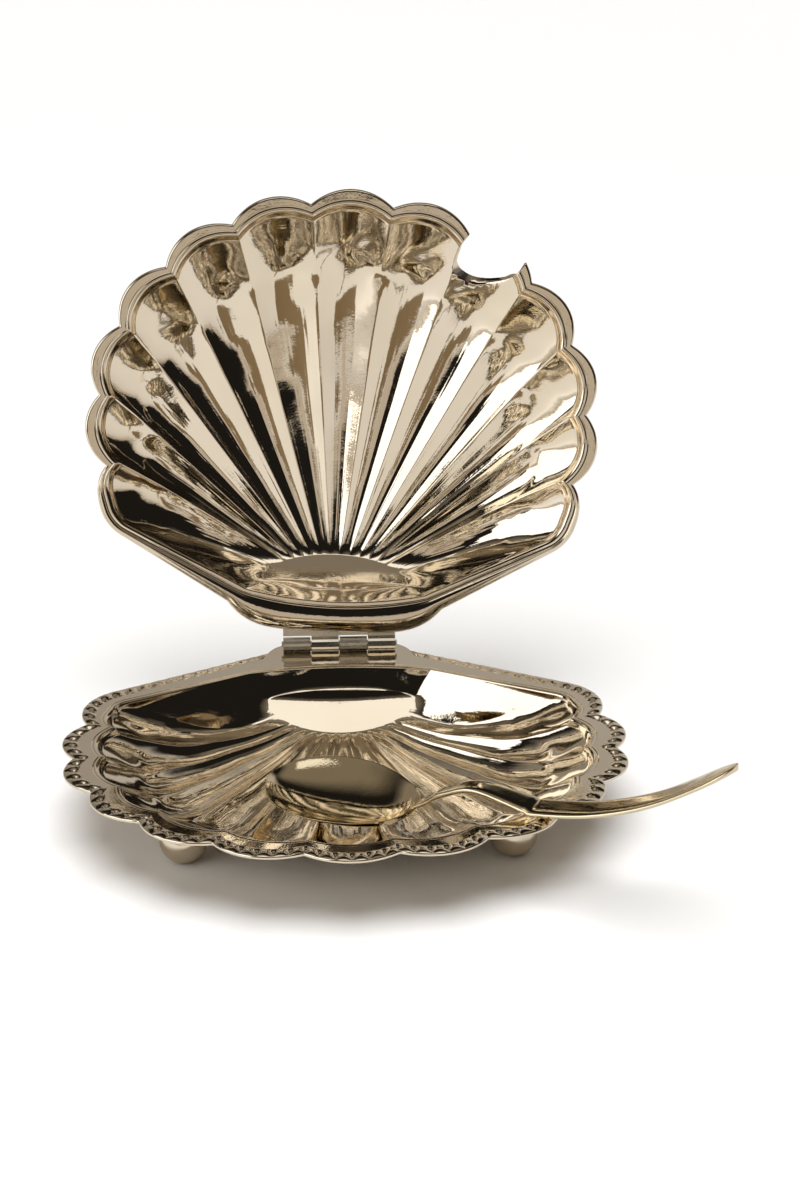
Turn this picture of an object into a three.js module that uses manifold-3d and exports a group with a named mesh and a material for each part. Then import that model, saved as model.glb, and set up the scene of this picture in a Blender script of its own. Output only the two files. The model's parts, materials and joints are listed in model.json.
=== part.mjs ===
// A scallop-shell dish on three ball feet, with a matching lid on a hinge at the heel and a spoon.
// Millimetres, +Z up, +X to the right, the front towards -Y. The lid stands open at rest.
// The shapes are worked out in a frame whose origin is the middle of the hinge axis, where "ahead"
// is the distance in front of that axis. The last lines move the origin under the whole object.

import * as THREE from "three";
import { mergeVertices } from "three/addons/utils/BufferGeometryUtils.js";
import Module from "manifold-3d";

// Outline shared by dish and lid: lobes along an oval, an ear at each side, a narrow neck behind
const OVAL_HALF_WIDTH = 71.3;
const OVAL_HALF_DEPTH = 62.7;
const OVAL_CENTRE_AHEAD = 64;
const LOBES_EACH_SIDE = 5;
const LOBE_ANGLE = THREE.MathUtils.degToRad(19.3);
const LOBE_BULGE = 3.8;
const EAR_RADIUS = 16;
const EAR_START_ANGLE = THREE.MathUtils.degToRad(27.6);
const EAR_BLEND = 0.6;

// Flat rims, and the neck at the hinge
const WALL = 1.0;
const DISH_RIM_WIDTH = 8.1;
const DISH_INNER_BULGE = 2.4;
const DISH_NECK_HALF_WIDTH = 20;
const DISH_NECK_AHEAD = 1.2;
const DISH_TAB_BEHIND = 5.4;
const DISH_NECK_POWER = 8;
const LID_INSET = 3.8;
const LID_RIM_WIDTH = 3.5;
const LID_INNER_BULGE = 3.0;
const LID_NECK_HALF_WIDTH = 30;
const LID_NECK_AHEAD = 11;
const LID_EDGE_AHEAD = 3.5;
const LID_NECK_POWER = 5;
const HEEL_HALF_WIDTH = 25;
const HEEL_CORNER_AHEAD = 14.8;
const HEEL_AHEAD = 12;
const HEEL_POWER = 2;

// Punched border on the dish
const BORDER_WIDTH = 4.2;
const BEAD_HEIGHT = 0.7;

// Hollow: a steep wall, a shoulder, flutes and a smooth heel
const WALL_RUN = 16.8;
const WALL_ROUNDING = 1.25;
const LIP_DEPTH = 1.7;
const LIP_RUN = 1.5;
const SHOULDER_DEPTH = 9.8;
const FLOOR_DIP = 1.6;
const FLUTE_DEPTH = 3.2;
const FLUTE_TAPER = 0.6;
const FLUTE_END_BACK = 4;
const FLUTE_END_LENGTH = 20;
const EAR_SCOOP = 2.2;
const HEEL_BACK_DEPTH = 5.5;
const HEEL_FRONT_DEPTH = 15;
const HEEL_RUN_SHARE = 0.6;
const HEEL_ROUNDING = 1.35;
const HEEL_HOLLOW = 1;
const CLOSED_LENGTH = 8;
const OPEN_LENGTH = 53;
const ROOT_HALF_WIDTH = 20;
const ROOT_AHEAD = 16.5;
const ROOT_FRONT_DEPTH = 6.5;
const ROOT_BACK_DEPTH = 1.6;
const ROOT_SPREAD = 0.5;

// Hinge
const BARREL_RADIUS = 1.9;
const BARREL_LENGTH = 31.6;
const KNUCKLES = 4;
const KNUCKLE_GAP = 0.3;
const BORE_RADIUS = 0.85;
const PIN_RADIUS = 0.75;
const PIN_PROUD = 0.3;
const LEAF_THICKNESS = 0.6;
const LEAF_WIDTH = 8;
const LEAF_INSET = 0.6;
const TONGUE_LAP = 0.3;
const ROUND_SIDES = 16;
const LID_OPENING = THREE.MathUtils.degToRad(102);
const LID_SKEW = THREE.MathUtils.degToRad(3.4);
const LID_SHIFT = -1.8;

// Spoon notch in the lid, at one of the lobes to the right of the middle
const NOTCH_LOBE = 2;
const NOTCH_ASIDE = -2.6;
const NOTCH_WIDTH = 17;
const NOTCH_HEIGHT = 7.5;
const NOTCH_ARCH_STEPS = 6;

// Feet
const FOOT_RADIUS = 6.25;
const FOOT_FLAT_RADIUS = 2;
const FOOT_DROP = 19;
const FRONT_FOOT_SIDE = 42.5;
const FRONT_FOOT_AHEAD = 90.5;
const REAR_FOOT_AHEAD = 17.5;
const FOOT_TURN = 0.13;
const FOOT_SIDES = 18;
const FOOT_STEPS = 7;

// Spoon
const SPOON_ANGLE = THREE.MathUtils.degToRad(30);
const SPOON_ROLL = THREE.MathUtils.degToRad(7);
const BOWL_LENGTH = 43;
const BOWL_HALF_WIDTH = 15.5;
const BOWL_DEPTH = 6.3;
const SPOON_THICKNESS = 1.2;
const HANDLE_THICKNESS = 1.9;
const NECK_HALF_WIDTH = 1.9;
const HANDLE_HALF_WIDTH = 4;
const HANDLE_LENGTH = 88;
const BOWL_TO_NOTCH = 53;
const BOWL_EGG = 0.12;
const BOWL_ROUNDING = 0.6;
const BOWL_END_HALF_WIDTH = 0.8;
const HANDLE_TIP_LENGTH = 9;
const HANDLE_TIP_SHARPNESS = 0.02;
const HANDLE_START_SHARE = 0.8;
const HANDLE_BLEND_SHARE = 0.5;
const HANDLE_SPREAD_SHARE = 0.45;
const HANDLE_HUMP = 2;
const HANDLE_LIFT = 23;
const SEARCH_STEPS = 30;
const ROLL_STEPS = 4;
const SPOON_ASIDE = 1.8;
const SPOON_ACROSS = [-1, -0.7, -0.36, 0, 0.36, 0.7, 1];
const BOWL_STATIONS = 11;
const HANDLE_STATIONS = 14;
const HANDLE_ROLL_RISE = 0.35;
const REST_SHARES = [0, 0.125, 0.25, 0.375, 0.5, 0.625, 0.75, 0.875];

const TOUCH_GAP = 0.3;
const BOWL_GAP = 0.6;
const WELD = 0.02;
const STEEPEST = 0.35;
const RIM_Z = -(BARREL_RADIUS + TOUCH_GAP);
const LID_RIM_Z = RIM_Z + BEAD_HEIGHT + TOUCH_GAP;

// Steps around and across the shells
const LOBE_STEPS = 6;
const EAR_STEPS = 5;
const BACK_STEPS = 5;
const NECK_STEPS = 3;
const WALL_STOPS = [0.09, 0.52, 1];
const FLOOR_STOPS = [0.07, 0.36, 0.7, 1];

const wasm = await Module();
wasm.setup();

const mix = (a, b, share) => a + (b - a) * share;
const smooth = (share) => share * share * (3 - 2 * share);
const clamp01 = (share) => Math.min(1, Math.max(0, share));
const plan = (x, ahead) => new THREE.Vector2(x, ahead);

// The oval at an inset from the dish's edge, pushed out by a bulge
function ovalPoint(angle, inset, bulge) {
  const out = bulge - inset;
  const across = (OVAL_HALF_WIDTH + out) * Math.sin(angle);
  const ahead = OVAL_CENTRE_AHEAD + (OVAL_HALF_DEPTH + out) * Math.cos(angle);
  return plan(across, ahead);
}

// One edge line, right half, from the middle of the front to the middle of the neck.
// Each point carries what the flutes need: its place in its lobe, from -1 to 1, and whose it is.
function halfEdge({ inset, bulge, neckHalfWidth, neckCornerAhead, neckAhead, neckPower }) {
  const points = [];
  const lastLobe = LOBES_EACH_SIDE + 0.5;
  const lobeColumns = Math.round(lastLobe * LOBE_STEPS);
  for (let i = 0; i <= lobeColumns; i++) {
    const inLobe = 2 * (i / LOBE_STEPS - Math.round(i / LOBE_STEPS));
    const isRidge = Math.abs(Math.abs(inLobe) - 1) < 1e-6;
    const rise = isRidge ? 0 : bulge * (1 - inLobe * inLobe);
    const spot = ovalPoint((i / LOBE_STEPS) * LOBE_ANGLE, inset, rise);
    points.push({ spot, kind: "lobe", inLobe: isRidge ? 1 : inLobe });
  }
  const valley = ovalPoint(lastLobe * LOBE_ANGLE, 0, 0);
  const earCentre = plan(
    valley.x - EAR_RADIUS * Math.cos(EAR_START_ANGLE),
    valley.y - EAR_RADIUS * Math.sin(EAR_START_ANGLE),
  );
  const radius = EAR_RADIUS - inset;
  const start = points[points.length - 1].spot.clone().sub(earCentre);
  const corner = plan(neckHalfWidth, neckCornerAhead);
  const toCorner = corner.clone().sub(earCentre);
  const endAngle = Math.atan2(toCorner.y, toCorner.x) + Math.acos(radius / toCorner.length());
  const earSpot = (share) => {
    const angle = mix(Math.atan2(start.y, start.x), endAngle, share);
    const reach = mix(start.length(), radius, smooth(Math.min(1, share / EAR_BLEND)));
    return plan(earCentre.x + reach * Math.cos(angle), earCentre.y + reach * Math.sin(angle));
  };
  for (let i = 1; i <= EAR_STEPS; i++) {
    const share = i / EAR_STEPS;
    points.push({ spot: earSpot(share), kind: "ear", inLobe: -1 + share });
  }
  const backStart = earSpot(1);
  for (let i = 1; i <= BACK_STEPS; i++) {
    const share = i / BACK_STEPS;
    points.push({ spot: backStart.clone().lerp(corner, share), kind: "ear", inLobe: share });
  }
  for (let i = 1; i <= NECK_STEPS; i++) {
    const share = Math.cos(((i / NECK_STEPS) * Math.PI) / 2);
    const ahead = mix(neckAhead, neckCornerAhead, Math.pow(share, neckPower));
    points.push({ spot: plan(neckHalfWidth * share, ahead), kind: "neck", inLobe: 1 });
  }
  return points;
}

// The whole edge line, anticlockwise from above, starting at the middle of the front
function wholeEdge(values) {
  const right = halfEdge(values);
  const left = right
    .slice(1, -1)
    .reverse()
    .map((p) => ({ ...p, spot: plan(-p.spot.x, p.spot.y) }));
  return [...right, ...left];
}

const dishOuter = wholeEdge({
  inset: 0,
  bulge: LOBE_BULGE,
  neckHalfWidth: DISH_NECK_HALF_WIDTH,
  neckCornerAhead: DISH_NECK_AHEAD,
  neckAhead: -DISH_TAB_BEHIND,
  neckPower: DISH_NECK_POWER,
});
const lidOuter = wholeEdge({
  inset: LID_INSET,
  bulge: LOBE_BULGE,
  neckHalfWidth: LID_NECK_HALF_WIDTH,
  neckCornerAhead: LID_NECK_AHEAD,
  neckAhead: LID_EDGE_AHEAD,
  neckPower: LID_NECK_POWER,
});
const innerEdge = (inset, bulge) =>
  wholeEdge({
    inset,
    bulge,
    neckHalfWidth: HEEL_HALF_WIDTH,
    neckCornerAhead: HEEL_CORNER_AHEAD,
    neckAhead: HEEL_AHEAD,
    neckPower: HEEL_POWER,
  });
const dishInner = innerEdge(DISH_RIM_WIDTH, DISH_INNER_BULGE);
const lidInner = innerEdge(LID_INSET + LID_RIM_WIDTH, LID_INNER_BULGE);

// Where each flute starts: on an oval round the heel's ramp, fuller in front than behind
function rootPoint(edgePoint) {
  const away = edgePoint.spot.clone().sub(plan(0, ROOT_AHEAD));
  const halfDepth = away.y > 0 ? ROOT_FRONT_DEPTH : ROOT_BACK_DEPTH;
  const turn = Math.atan2(away.x / ROOT_HALF_WIDTH, away.y / halfDepth);
  const spread = Math.atan2(away.x, away.y);
  const angle = mix(turn, spread, ROOT_SPREAD);
  return plan(ROOT_HALF_WIDTH * Math.sin(angle), ROOT_AHEAD + halfDepth * Math.cos(angle));
}

// The ramp's depth, from the back of the oval down to its front; its middle is hollowed a little
function heelDepth(ahead) {
  const share = (ahead - (ROOT_AHEAD - ROOT_BACK_DEPTH)) / (ROOT_BACK_DEPTH + ROOT_FRONT_DEPTH);
  return mix(HEEL_BACK_DEPTH, HEEL_FRONT_DEPTH, share);
}

// A steep start that flattens out, from 0 to 1
const rounded = (share, power) => 1 - Math.pow(1 - clamp01(share), power);

// The wall's depth at a share of its run: a short steep lip, and then an even slope to the shoulder
function wallDepth(share, run) {
  const lip = 1 - Math.min(1, (share * run) / LIP_RUN);
  const slope = (SHOULDER_DEPTH - LIP_DEPTH) * rounded(share, WALL_ROUNDING);
  return LIP_DEPTH * (1 - lip * lip) + slope;
}

// How much of a flute is there at a distance past the shoulder; its rounded end is nearest the wall
function fluteGrowth(pastShoulder, inLobe) {
  const start = FLUTE_END_BACK * (inLobe * inLobe - 1);
  return rounded((pastShoulder - start) / FLUTE_END_LENGTH, 2);
}

// One line of the hollow, from the rim's inner edge to the flute's root, at the given stops.
// A long line falls to the shoulder and then crosses the floor; a short one, at the heel, only falls.
function hollowLine(edgePoint, stops) {
  const root = rootPoint(edgePoint);
  const length = edgePoint.spot.distanceTo(root);
  const openness = smooth(clamp01((length - CLOSED_LENGTH) / (OPEN_LENGTH - CLOSED_LENGTH)));
  const run = mix(length * HEEL_RUN_SHARE, WALL_RUN, openness);
  const rootDepth = heelDepth(root.y);
  const channel = 1 - edgePoint.inLobe * edgePoint.inLobe;
  const scoop = { lobe: FLUTE_DEPTH, ear: EAR_SCOOP, neck: 0 }[edgePoint.kind] * channel * openness;
  return stops.map(({ onWall, share }) => {
    const fall = onWall ? share : 1;
    const inward = onWall ? 0 : share;
    const way = (run * fall + (length - run) * inward) / length;
    const rise = FLOOR_DIP * 4 * inward * (1 - inward);
    const crossing = onWall ? wallDepth(fall, run) : mix(SHOULDER_DEPTH, rootDepth, inward) + rise;
    const growth = fluteGrowth((fall - 1) * run + inward * (length - run), edgePoint.inLobe);
    const narrowing = Math.pow(1 - inward, FLUTE_TAPER);
    const short = rootDepth * rounded(way, HEEL_ROUNDING);
    const depth = mix(short, crossing, openness) + scoop * growth * narrowing;
    const spot = edgePoint.spot.clone().lerp(root, way);
    return new THREE.Vector3(spot.x, -spot.y, -depth);
  });
}

const hollowStops = [
  ...WALL_STOPS.map((share) => ({ onWall: true, share })),
  ...FLOOR_STOPS.map((share) => ({ onWall: false, share })),
];

function flatRing(edge, z) {
  return edge.map((p) => new THREE.Vector3(p.spot.x, -p.spot.y, z));
}

// The rings of the hollow's surface, from the rim's inner edge inwards, and its middle point
function hollowRings(inner) {
  const lines = inner.map((p) => hollowLine(p, hollowStops));
  const rings = hollowStops.map((_, k) => lines.map((line) => line[k]));
  const pole = new THREE.Vector3(0, -ROOT_AHEAD, -heelDepth(ROOT_AHEAD) - HEEL_HOLLOW);
  return { rings: [flatRing(inner, 0), ...rings], pole };
}

// Collects points and triangles into one closed surface
class Skin {
  constructor() {
    this.points = [];
    this.faces = [];
  }
  add(ring) {
    const first = this.points.length;
    this.points.push(...ring);
    return ring.map((_, i) => first + i);
  }
  // A band between an outer and an inner ring of equal count, or of twice the count outside
  band(outer, inner, faceUp) {
    const n = inner.length;
    const ratio = outer.length / n;
    for (let i = 0; i < n; i++) {
      const next = (i + 1) % n;
      const run = [];
      for (let k = 0; k <= ratio; k++) run.push(outer[(i * ratio + k) % outer.length]);
      const half = Math.ceil(ratio / 2);
      for (let k = 0; k < ratio; k++) this.face(run[k], run[k + 1], inner[k < half ? i : next], faceUp);
      this.face(run[half], inner[next], inner[i], faceUp);
    }
  }
  cap(ring, pole, faceUp) {
    ring.forEach((a, i) => this.face(a, ring[(i + 1) % ring.length], pole, faceUp));
  }
  face(a, b, c, faceUp) {
    this.faces.push(faceUp ? [a, b, c] : [a, c, b]);
  }
  geometry() {
    const g = new THREE.BufferGeometry();
    const positions = this.points.flatMap((p) => [p.x, p.y, p.z]);
    g.setAttribute("position", new THREE.Float32BufferAttribute(positions, 3));
    g.setIndex(this.faces.flat());
    return g;
  }
}

// Each point of a surface lowered to the other side of the wall, further where the surface is steep
function loweredRings(rings, pole, distance) {
  const skin = new Skin();
  const ids = rings.map((ring) => skin.add(ring));
  const [poleId] = skin.add([pole]);
  for (let k = 0; k + 1 < ids.length; k++) skin.band(ids[k], ids[k + 1], true);
  skin.cap(ids[ids.length - 1], poleId, true);
  const g = skin.geometry();
  g.computeVertexNormals();
  const normals = g.getAttribute("normal");
  const moved = (id, p) => {
    const level = Math.max(normals.getZ(id), STEEPEST);
    return p.clone().setZ(p.z - distance / level);
  };
  return {
    rings: ids.map((ring, k) => ring.map((id, i) => moved(id, rings[k][i]))),
    pole: moved(poleId, pole),
  };
}

// The shell's underside, with the rim's underside kept flat
function undersideOf(outer, inner, drop) {
  const { rings, pole } = hollowRings(inner);
  const rim = flatRing(outer, 0);
  const under = loweredRings([rim, ...rings], pole, WALL + drop);
  under.rings[0] = rim.map((p) => new THREE.Vector3(p.x, p.y, -WALL - drop));
  return under;
}

// A fluted shell, hollow side up, with its rim's top at height 0
function shellGeometry(outer, inner, border) {
  const skin = new Skin();
  const { rings, pole } = hollowRings(inner);
  const under = undersideOf(outer, inner, 0);
  const bottomIds = under.rings.map((ring) => skin.add(ring));
  const topRings = border ? [...border.coarse, ...rings] : [flatRing(outer, 0), ...rings];
  const topIds = topRings.map((ring) => skin.add(ring));
  if (border) {
    const fineIds = border.fine.map((ring) => skin.add(ring));
    for (let k = 0; k + 1 < fineIds.length; k++) skin.band(fineIds[k], fineIds[k + 1], true);
    skin.band(fineIds[fineIds.length - 1], topIds[0], true);
    skin.band(fineIds[0], bottomIds[0], false);
  } else {
    skin.band(topIds[0], bottomIds[0], false);
  }
  for (let k = 0; k + 1 < topIds.length; k++) skin.band(topIds[k], topIds[k + 1], true);
  for (let k = 0; k + 1 < bottomIds.length; k++) skin.band(bottomIds[k], bottomIds[k + 1], false);
  skin.cap(topIds[topIds.length - 1], skin.add([pole])[0], true);
  skin.cap(bottomIds[bottomIds.length - 1], skin.add([under.pole])[0], false);
  return skin.geometry();
}

// Twice as many points round a ring, by halving each step
function doubled(ring) {
  return ring.flatMap((p, i) => [p, p.clone().lerp(ring[(i + 1) % ring.length], 0.5)]);
}

// The dish's raised border: a row of short beads between the edge and the flat rim
function beadedBorder(outer, inner) {
  const edge = flatRing(outer, 0);
  const inside = flatRing(inner, 0);
  const inwards = (share) =>
    edge.map((p, i) => p.clone().lerp(inside[i], Math.min(1, share / p.distanceTo(inside[i]))));
  const crest = doubled(inwards(BORDER_WIDTH / 2)).map((p, i) => {
    const column = outer[Math.floor(i / 2)];
    const beaded = i % 2 === 1 && column.kind !== "neck";
    return p.setZ(beaded ? BEAD_HEIGHT : 0);
  });
  return { fine: [doubled(edge), crest], coarse: [inwards(BORDER_WIDTH)] };
}

// Solids for joining and cutting
function solidOf(geometry) {
  const g = geometry.clone();
  g.deleteAttribute("normal");
  g.deleteAttribute("uv");
  const merged = mergeVertices(g, 1e-4);
  const vertProperties = new Float32Array(merged.getAttribute("position").array);
  const triVerts = new Uint32Array(merged.index.array);
  return new wasm.Manifold(new wasm.Mesh({ numProp: 3, vertProperties, triVerts }));
}

// Points closer together than the weld become one, and the faces between them go
function geometryOf(solid) {
  const mesh = solid.getMesh();
  const g = new THREE.BufferGeometry();
  g.setAttribute("position", new THREE.Float32BufferAttribute(mesh.vertProperties, 3));
  g.setIndex([...mesh.triVerts]);
  const welded = mergeVertices(g, WELD);
  const index = [...welded.index.array];
  const faces = [];
  for (let i = 0; i < index.length; i += 3) {
    const face = index.slice(i, i + 3);
    if (new Set(face).size === 3) faces.push(...face);
  }
  welded.setIndex(faces);
  return welded;
}

function boxBetween(low, high) {
  const size = high.map((v, i) => v - low[i]);
  const middle = high.map((v, i) => (v + low[i]) / 2);
  return new THREE.BoxGeometry(...size).translate(...middle);
}

// The notch's place round the rim: a little to one side of its lobe's middle
function notchAngle() {
  const reach = ovalPoint(NOTCH_LOBE * LOBE_ANGLE, LID_INSET, 0).distanceTo(plan(0, OVAL_CENTRE_AHEAD));
  return NOTCH_LOBE * LOBE_ANGLE + NOTCH_ASIDE / reach;
}

// The lid, shut, in the hinge's frame before it is turned askew: the shell turned hollow side down
function lidGeometry() {
  const shell = shellGeometry(lidOuter, lidInner, null);
  shell.rotateY(Math.PI).translate(0, 0, LID_RIM_Z);
  const rimPoint = ovalPoint(notchAngle(), LID_INSET, 0);
  const inner = ovalPoint(notchAngle(), LID_INSET + LID_RIM_WIDTH + WALL_RUN / 2, 0);
  const arch = new THREE.Shape();
  const half = NOTCH_WIDTH / 2;
  arch.moveTo(-half, -WALL);
  arch.lineTo(half, -WALL);
  arch.lineTo(half, WALL);
  arch.absellipse(0, WALL, half, NOTCH_HEIGHT - WALL, 0, Math.PI, false);
  const depth = rimPoint.distanceTo(inner) + 2 * LOBE_BULGE;
  const tool = new THREE.ExtrudeGeometry(arch, {
    depth,
    bevelEnabled: false,
    curveSegments: NOTCH_ARCH_STEPS,
  });
  const outwards = rimPoint.clone().sub(inner).normalize();
  tool.rotateX(Math.PI / 2).rotateZ(Math.atan2(outwards.x, outwards.y));
  tool.translate(inner.x, -inner.y, LID_RIM_Z);
  return geometryOf(solidOf(shell).subtract(solidOf(tool)));
}

// The barrel's stretch along X for one knuckle
function knuckleSpan(index) {
  const pitch = BARREL_LENGTH / KNUCKLES;
  const left = -BARREL_LENGTH / 2 + index * pitch;
  return [left + KNUCKLE_GAP / 2, left + pitch - KNUCKLE_GAP / 2];
}

// A leaf with every second knuckle. The plate lies beyond the barrel, at the given height, and a
// tongue joins it to each of its knuckles. "side" is -1 for a plate in front of the barrel, 1 behind.
function leafGeometry(firstKnuckle, side, plateBottom, plateFar) {
  const near = BARREL_RADIUS + TOUCH_GAP;
  const plateTop = plateBottom + LEAF_THICKNESS;
  const yRange = (a, b) => [Math.min(side * a, side * b), Math.max(side * a, side * b)];
  const [plateLow, plateHigh] = yRange(near, plateFar);
  const half = BARREL_LENGTH / 2 - KNUCKLE_GAP / 2;
  let leaf = solidOf(boxBetween([-half, plateLow, plateBottom], [half, plateHigh, plateTop]));
  const [tongueLow, tongueHigh] = yRange(BORE_RADIUS + TONGUE_LAP, near + TONGUE_LAP);
  for (let i = firstKnuckle; i < KNUCKLES; i += 2) {
    const [from, to] = knuckleSpan(i);
    const barrel = new THREE.CylinderGeometry(BARREL_RADIUS, BARREL_RADIUS, to - from, ROUND_SIDES);
    barrel.rotateZ(Math.PI / 2).translate((from + to) / 2, 0, 0);
    const tongue = boxBetween([from, tongueLow, plateBottom], [to, tongueHigh, plateTop]);
    leaf = leaf.add(solidOf(barrel)).add(solidOf(tongue));
  }
  const bore = new THREE.CylinderGeometry(BORE_RADIUS, BORE_RADIUS, 2 * BARREL_LENGTH, ROUND_SIDES);
  bore.rotateZ(Math.PI / 2);
  return geometryOf(leaf.subtract(solidOf(bore)));
}

function pinGeometry() {
  const length = BARREL_LENGTH + 2 * PIN_PROUD;
  return new THREE.CylinderGeometry(PIN_RADIUS, PIN_RADIUS, length, ROUND_SIDES).rotateZ(Math.PI / 2);
}

// A ball with a small flat below, cut away where it meets the dish's underside
function footGeometry(x, ahead) {
  const flatAngle = Math.asin(FOOT_FLAT_RADIUS / FOOT_RADIUS);
  const profile = [new THREE.Vector2(0, -FOOT_RADIUS * Math.cos(flatAngle))];
  for (let i = 0; i < FOOT_STEPS; i++) {
    const angle = mix(flatAngle, Math.PI, i / FOOT_STEPS);
    profile.push(new THREE.Vector2(FOOT_RADIUS * Math.sin(angle), -FOOT_RADIUS * Math.cos(angle)));
  }
  profile.push(new THREE.Vector2(0, FOOT_RADIUS));
  const ball = new THREE.LatheGeometry(profile, FOOT_SIDES, FOOT_TURN);
  const centreZ = RIM_Z - FOOT_DROP + FOOT_RADIUS * Math.cos(flatAngle);
  ball.rotateX(Math.PI / 2).translate(x, -ahead, centreZ);
  return geometryOf(solidOf(ball).subtract(aboveUnderside));
}

// Everything above a copy of the dish's underside that is lowered by the gap
function aboveUndersideSolid() {
  const skin = new Skin();
  const under = undersideOf(dishOuter, dishInner, TOUCH_GAP);
  const ids = under.rings.map((ring) => skin.add(ring));
  const topIds = skin.add(flatRing(dishOuter, FOOT_DROP));
  skin.cap(topIds, skin.add([new THREE.Vector3(0, -OVAL_CENTRE_AHEAD, FOOT_DROP)])[0], true);
  skin.band(topIds, ids[0], false);
  for (let k = 0; k + 1 < ids.length; k++) skin.band(ids[k], ids[k + 1], false);
  skin.cap(ids[ids.length - 1], skin.add([under.pole])[0], false);
  return solidOf(skin.geometry().translate(0, 0, RIM_Z));
}
const aboveUnderside = aboveUndersideSolid();

// Where the handle leaves through the notch when the lid is shut, a little to the right of its middle
function handleCrossing() {
  const angle = notchAngle();
  const spot = ovalPoint(angle, LID_INSET + LID_RIM_WIDTH / 2, 0);
  spot.x += SPOON_ASIDE * Math.cos(angle);
  spot.y -= SPOON_ASIDE * Math.sin(angle);
  const turned = spot.rotateAround(plan(0, 0), -LID_SKEW);
  return plan(turned.x + LID_SHIFT, turned.y);
}

// The spoon is made along X, with the bowl's middle at x = 0, and then turned towards the notch
const spoonWay = plan(Math.cos(SPOON_ANGLE), Math.sin(SPOON_ANGLE));
const bowlMiddle = handleCrossing().addScaledVector(spoonWay, -BOWL_TO_NOTCH);
const bowlEnd = BOWL_LENGTH / 2;
const spoonEnd = bowlEnd + HANDLE_LENGTH;

// Half the spoon's width, and how far its middle is hollowed, at a distance along it
function spoonSection(x) {
  const share = x / bowlEnd;
  const round = Math.max(0, 1 - share * share);
  const inBowl = BOWL_HALF_WIDTH * Math.sqrt(round) * (1 - BOWL_EGG * share);
  const hollow = BOWL_DEPTH * Math.pow(round, BOWL_ROUNDING);
  if (share < 0) return { half: Math.max(inBowl, BOWL_END_HALF_WIDTH), hollow };
  const spread = smooth(clamp01((x - bowlEnd) / (HANDLE_LENGTH * HANDLE_SPREAD_SHARE)));
  const fromEnd = Math.min(1, (spoonEnd - x) / HANDLE_TIP_LENGTH);
  const tip = Math.sqrt(Math.max(HANDLE_TIP_SHARPNESS, 1 - (1 - fromEnd) * (1 - fromEnd)));
  const handle = mix(NECK_HALF_WIDTH, HANDLE_HALF_WIDTH, spread) * tip;
  return { half: Math.max(inBowl, handle), hollow };
}

// Where a cross-section's surface is, sideways and upwards, at a share of its half width
function rolled(half, hollow, across) {
  const side = half * across;
  const up = -hollow * (1 - across * across);
  const c = Math.cos(SPOON_ROLL);
  const s = Math.sin(SPOON_ROLL);
  return plan(side * c - up * s, side * s + up * c);
}

// The lowest height of the bowl's rim at which its underside clears the dish's hollow
function restingRimZ() {
  const { rings } = hollowRings(dishInner);
  const between = (k, i) => REST_SHARES.map((share) => rings[k][i].clone().lerp(rings[k + 1][i], share));
  const samples = rings.slice(1).flatMap((ring, k) => ring.flatMap((_, i) => between(k, i)));
  const heights = samples.map((p) => {
    const away = plan(p.x, -p.y).sub(bowlMiddle);
    const along = away.dot(spoonWay);
    if (Math.abs(along) >= bowlEnd) return -Infinity;
    const { half, hollow } = spoonSection(along);
    const side = away.cross(spoonWay);
    let across = side / half;
    for (let i = 0; i < ROLL_STEPS; i++) across += (side - rolled(half, hollow, across).x) / half;
    return Math.abs(across) > 1 ? -Infinity : p.z - rolled(half, hollow, across).y;
  });
  return RIM_Z + Math.max(...heights) + BOWL_GAP + SPOON_THICKNESS;
}

// The centre line: level along the bowl, over a low hump down to the crest of the dish's border, on
// which the handle rests, and then up to the tip. Heights are shares of the hump and of the lift.
const bowlRimZ = restingRimZ();
const handleRestZ = RIM_Z + BEAD_HEIGHT + TOUCH_GAP + HANDLE_THICKNESS / 2 + HANDLE_ROLL_RISE;
const bowlToCrest = BOWL_TO_NOTCH + LID_INSET + (LID_RIM_WIDTH - BORDER_WIDTH) / 2;
const humpZ = handleRestZ + HANDLE_HUMP;
const inside = (share, z) => plan(mix(bowlEnd, BOWL_TO_NOTCH, share), z);
const outside = (share, lift) => plan(mix(bowlToCrest, spoonEnd, share), handleRestZ + lift * HANDLE_LIFT);
const spoonLine = new THREE.SplineCurve([
  plan(-bowlEnd, bowlRimZ),
  plan(0, bowlRimZ),
  plan(bowlEnd * 0.9, bowlRimZ),
  inside(0.25, mix(bowlRimZ, humpZ, 0.6)),
  inside(0.55, humpZ),
  inside(1, mix(handleRestZ, humpZ, 0.2)),
  outside(0, 0),
  outside(0.3, 0.14),
  outside(0.62, 0.44),
  outside(1, 1),
]);

// The centre line's height at a distance along the spoon
function spoonHeight(x) {
  let low = 0;
  let high = 1;
  for (let i = 0; i < SEARCH_STEPS; i++) {
    const middle = (low + high) / 2;
    if (spoonLine.getPoint(middle).x < x) low = middle;
    else high = middle;
  }
  return spoonLine.getPoint((low + high) / 2).y;
}

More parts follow.
